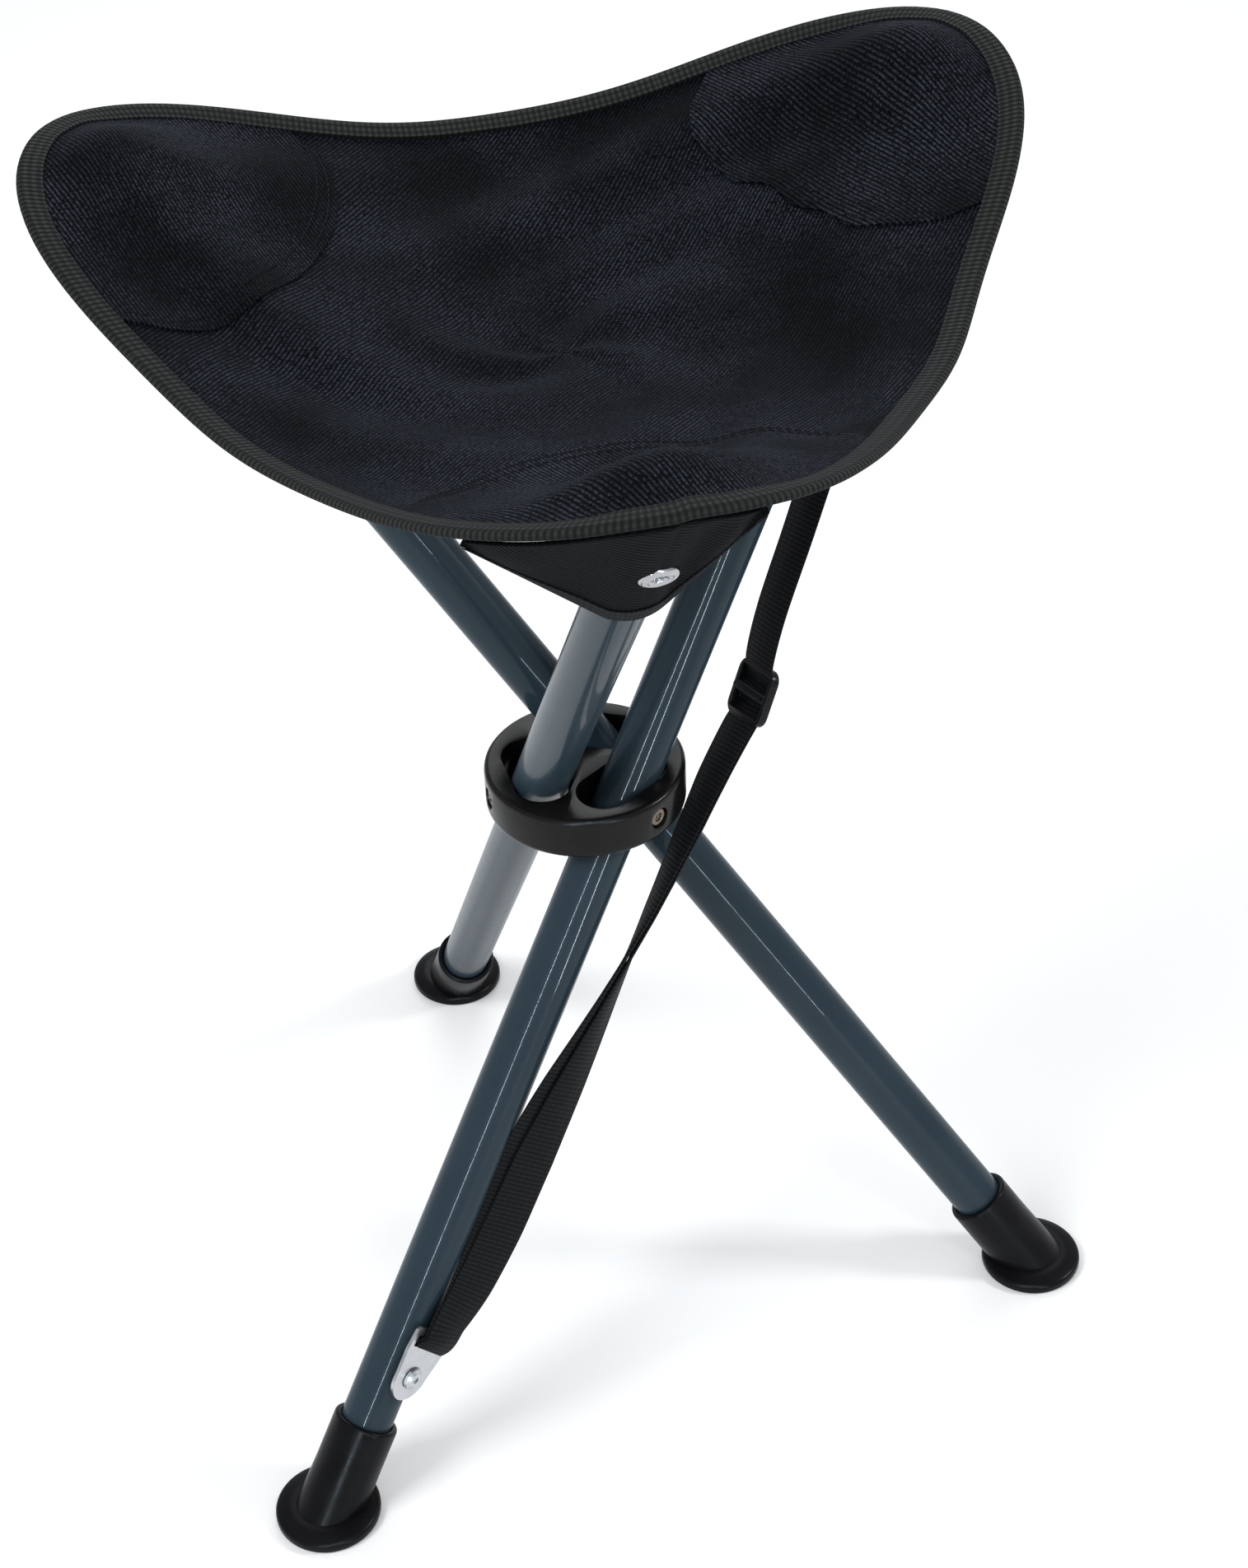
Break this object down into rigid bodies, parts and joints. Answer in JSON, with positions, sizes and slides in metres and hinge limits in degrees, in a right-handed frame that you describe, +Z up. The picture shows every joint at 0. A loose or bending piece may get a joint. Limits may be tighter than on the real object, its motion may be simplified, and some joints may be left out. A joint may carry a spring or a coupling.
{
  "type": "folding stool",
  "caption": "Folding stool with crossed tube legs pinned in a pivot hub, a dished sling seat with corner pockets, rubber feet and a shoulder strap.",
  "frame": {"origin": "middle of the stool's box without its loose strap, on the ground plane", "axes": "+Z up; the front seat corner points towards -Y; +X is to the right of someone facing the front corner"},
  "size_m": [0.3924, 0.4164, 0.5218],
  "materials": {
    "tube_paint": "satin metallic",
    "hub": "fine grain",
    "foot_rubber": "soft satin",
    "cap_plastic": "satin",
    "steel": "zinc plated",
    "seat_cloth": "twill",
    "binding_tape": "herringbone tape",
    "webbing": "ribbed",
    "slider_plastic": "semi gloss"
  },
  "bodies": {
    "hub": {"hub": "hub", "seat_panel": "seat_cloth", "edge_binding": "binding_tape", "corner_patch_front": "seat_cloth", "pivot_pin_front": "steel", "corner_patch_right": "seat_cloth", "pivot_pin_right": "steel", "corner_patch_left": "seat_cloth", "pivot_pin_left": "steel"},
    "leg_front": {"leg_tube_front": "tube_paint", "leg_cap_front": "cap_plastic", "foot_front": "foot_rubber", "corner_pocket_front": "seat_cloth", "corner_rivet_front": "steel"},
    "leg_right": {"leg_tube_right": "tube_paint", "leg_cap_right": "cap_plastic", "foot_right": "foot_rubber", "corner_pocket_right": "seat_cloth", "corner_rivet_right": "steel", "bracket_rivet": "steel", "strap_upper": "webbing", "strap_lower": "webbing"},
    "leg_left": {"leg_tube_left": "tube_paint", "leg_cap_left": "cap_plastic", "foot_left": "foot_rubber", "corner_pocket_left": "seat_cloth", "corner_rivet_left": "steel"},
    "bracket": {"strap_bracket": "steel"},
    "slider": {"strap_slider": "slider_plastic"}
  },
  "joints": [
    {"name": "leg_right_fold", "type": "hinge", "parent": "hub", "child": "leg_right", "pos_m": [0.00207, -0.0189, 0.2638], "axis": [0.592, -0.8059, 0], "range_deg": [0, 33], "deforming": ["seat_panel", "edge_binding", "corner_patch_front", "corner_patch_right", "corner_patch_left", "corner_pocket_front", "corner_pocket_right", "corner_pocket_left"]},
    {"name": "leg_front_fold", "type": "hinge", "parent": "hub", "child": "leg_front", "pos_m": [-0.02997, -0.00484, 0.2638], "axis": [-0.994, -0.1097, 0], "range_deg": [0, 33]},
    {"name": "leg_left_fold", "type": "hinge", "parent": "hub", "child": "leg_left", "pos_m": [-0.00177, 0.01588, 0.2638], "axis": [0.4019, 0.9157, 0], "range_deg": [0, 33]},
    {"name": "bracket_swivel", "type": "hinge", "parent": "leg_right", "child": "bracket", "pos_m": [-0.11949, -0.1082, 0.05695], "axis": [0.592, -0.8059, 0], "range_deg": [-12, 12], "deforming": ["strap_lower", "strap_upper"]},
    {"name": "slider_slide", "type": "slide", "parent": "leg_right", "child": "slider", "axis": [-0.394, -0.2981, -0.8694], "range_m": [-0.02, 0.02]}
  ],
  "couplings": [
    {"joint": "leg_front_fold", "follows": "leg_right_fold", "ratio": 1},
    {"joint": "leg_left_fold", "follows": "leg_right_fold", "ratio": 1}
  ]
}
